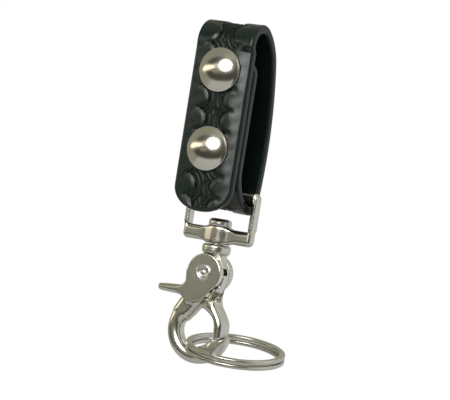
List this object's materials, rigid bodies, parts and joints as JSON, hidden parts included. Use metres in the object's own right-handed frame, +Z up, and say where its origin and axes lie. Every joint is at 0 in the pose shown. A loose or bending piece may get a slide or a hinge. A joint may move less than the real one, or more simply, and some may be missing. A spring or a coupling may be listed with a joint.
{
  "type": "belt key clip",
  "caption": "Snap-up leather belt loop with a folded end round a square swivel eye, a spring-closed scissor hook below it and a split key ring.",
  "frame": {"origin": "centre of the slot that the belt passes through, midway across the strap's width and midway between the eye's top bar and the inside of the top bend", "axes": "+X along the belt, to the viewer's right from the snapped front; +Y from the snapped front towards the back; +Z up"},
  "size_m": [0.0498, 0.0425, 0.1233],
  "materials": {
    "leather": "smooth black bridle leather, soft sheen",
    "stamped_leather": "black leather stamped in a basket weave, soft sheen",
    "snap_cap": "satin nickel plate",
    "snap_steel": "nickel-plated pressed steel",
    "spring_steel": "drawn spring wire",
    "nickel": "bright nickel plate on die-cast metal",
    "rivet": "bright nickel plate on steel",
    "ring_steel": "bright nickel plate on flat steel wire"
  },
  "bodies": {
    "strap": {"strap_main": "leather", "strap_top_bend": "leather", "stud_upper": "snap_steel", "stud_lower": "snap_steel", "eyelet_upper": "snap_steel", "eyelet_lower": "snap_steel"},
    "flap": {"strap_flap": "stamped_leather", "cap_upper": "snap_cap", "cap_lower": "snap_cap", "socket_upper": "snap_steel", "socket_lower": "snap_steel", "socket_spring_upper": "spring_steel", "socket_spring_lower": "spring_steel"},
    "eye": {"swivel_eye": "nickel"},
    "hook": {"hook_body": "nickel", "swivel_rivet": "rivet", "pivot_rivet": "rivet", "torsion_spring": "spring_steel"},
    "lever": {"lever_jaw": "nickel"},
    "ring": {"split_ring": "ring_steel"}
  },
  "joints": [
    {"name": "flap_hinge", "type": "hinge", "parent": "strap", "child": "flap", "pos_m": [0, -0.0117, 0.0281], "axis": [-1, 0, 0], "range_deg": [0, 100], "deforming": ["strap_top_bend"]},
    {"name": "eye_swing", "type": "hinge", "parent": "strap", "child": "eye", "pos_m": [0, 0.0034, -0.0302], "axis": [1, 0, 0], "range_deg": [-30, 75]},
    {"name": "hook_swivel", "type": "hinge", "parent": "eye", "child": "hook", "pos_m": [0, 0.0034, -0.045], "axis": [0, 0, 1], "continuous": true},
    {"name": "lever_pivot", "type": "hinge", "parent": "hook", "child": "lever", "pos_m": [-0.001, 0.0034, -0.05868], "axis": [0, 1, 0], "range_deg": [0, 25], "stiffness_Nm_per_rad": 0.15, "springref_deg": -17.19, "deforming": ["torsion_spring"]},
    {"name": "ring_swing", "type": "hinge", "parent": "lever", "child": "ring", "pos_m": [-0.00378, 0.0034, -0.08394], "axis": [-0.0907, 0.9794, 0.1804], "range_deg": [-40, 85]}
  ]
}
